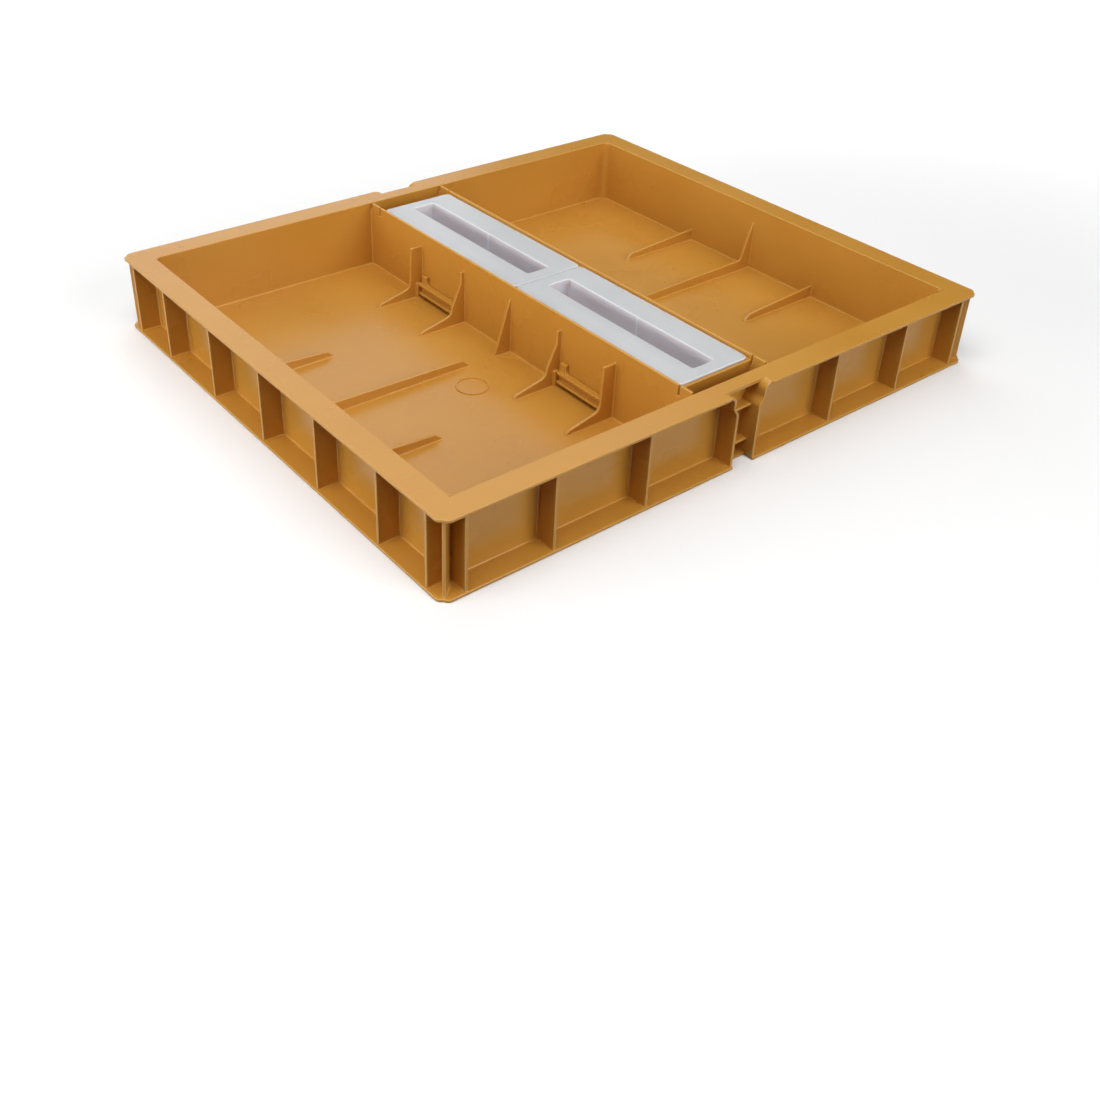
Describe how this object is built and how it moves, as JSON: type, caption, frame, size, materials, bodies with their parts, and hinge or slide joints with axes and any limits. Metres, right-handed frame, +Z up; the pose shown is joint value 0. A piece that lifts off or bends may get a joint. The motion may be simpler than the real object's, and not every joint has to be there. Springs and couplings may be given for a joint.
{
  "type": "hive top feeder",
  "caption": "Shallow moulded tray with two syrup tanks and a capped bee channel between them, fed through sliding sluice gates, that sits on top of a beehive.",
  "frame": {"origin": "middle of the base flange's underside", "axes": "+X along the long side to the right, +Y from the front, which has the grip notch seen in the picture, to the back, +Z up"},
  "size_m": [0.505, 0.43, 0.06],
  "materials": {
    "ochre_polypropylene": "satin moulded",
    "milky_polypropylene": "satin, milky translucent"
  },
  "bodies": {
    "tray": {"rim_front": "ochre_polypropylene", "rim_back": "ochre_polypropylene", "rim_left": "ochre_polypropylene", "rim_right": "ochre_polypropylene", "base_front": "ochre_polypropylene", "base_back": "ochre_polypropylene", "base_left": "ochre_polypropylene", "base_right": "ochre_polypropylene", "wall_front": "ochre_polypropylene", "wall_back": "ochre_polypropylene", "wall_left": "ochre_polypropylene", "wall_right": "ochre_polypropylene", "ribs_front": "ochre_polypropylene", "ribs_back": "ochre_polypropylene", "ribs_left": "ochre_polypropylene", "ribs_right": "ochre_polypropylene", "corner_webs": "ochre_polypropylene", "grip_front": "ochre_polypropylene", "grip_back": "ochre_polypropylene", "left_tank_floor": "ochre_polypropylene", "right_tank_floor": "ochre_polypropylene", "channel_floor": "ochre_polypropylene", "left_divider": "ochre_polypropylene", "right_divider": "ochre_polypropylene", "channel_end_front": "ochre_polypropylene", "channel_end_back": "ochre_polypropylene", "front_chimney": "ochre_polypropylene", "back_chimney": "ochre_polypropylene", "left_cap_ledge": "ochre_polypropylene", "right_cap_ledge": "ochre_polypropylene", "left_brackets": "ochre_polypropylene", "right_brackets": "ochre_polypropylene", "left_floor_ribs": "ochre_polypropylene", "right_floor_ribs": "ochre_polypropylene"},
    "front_cap": {"front_cap": "milky_polypropylene"},
    "back_cap": {"back_cap": "milky_polypropylene"},
    "left_front_gate": {"left_front_gate": "ochre_polypropylene"},
    "left_back_gate": {"left_back_gate": "ochre_polypropylene"},
    "right_front_gate": {"right_front_gate": "ochre_polypropylene"},
    "right_back_gate": {"right_back_gate": "ochre_polypropylene"}
  },
  "joints": [
    {"name": "front_cap_lift", "type": "slide", "parent": "tray", "child": "front_cap", "axis": [0, 0, 1], "range_m": [0, 0.06]},
    {"name": "back_cap_lift", "type": "slide", "parent": "tray", "child": "back_cap", "axis": [0, 0, 1], "range_m": [0, 0.06]},
    {"name": "left_front_gate_slide", "type": "slide", "parent": "tray", "child": "left_front_gate", "axis": [0, 0, 1], "range_m": [0, 0.012]},
    {"name": "left_back_gate_slide", "type": "slide", "parent": "tray", "child": "left_back_gate", "axis": [0, 0, 1], "range_m": [0, 0.012]},
    {"name": "right_front_gate_slide", "type": "slide", "parent": "tray", "child": "right_front_gate", "axis": [0, 0, 1], "range_m": [0, 0.012]},
    {"name": "right_back_gate_slide", "type": "slide", "parent": "tray", "child": "right_back_gate", "axis": [0, 0, 1], "range_m": [0, 0.012]}
  ]
}
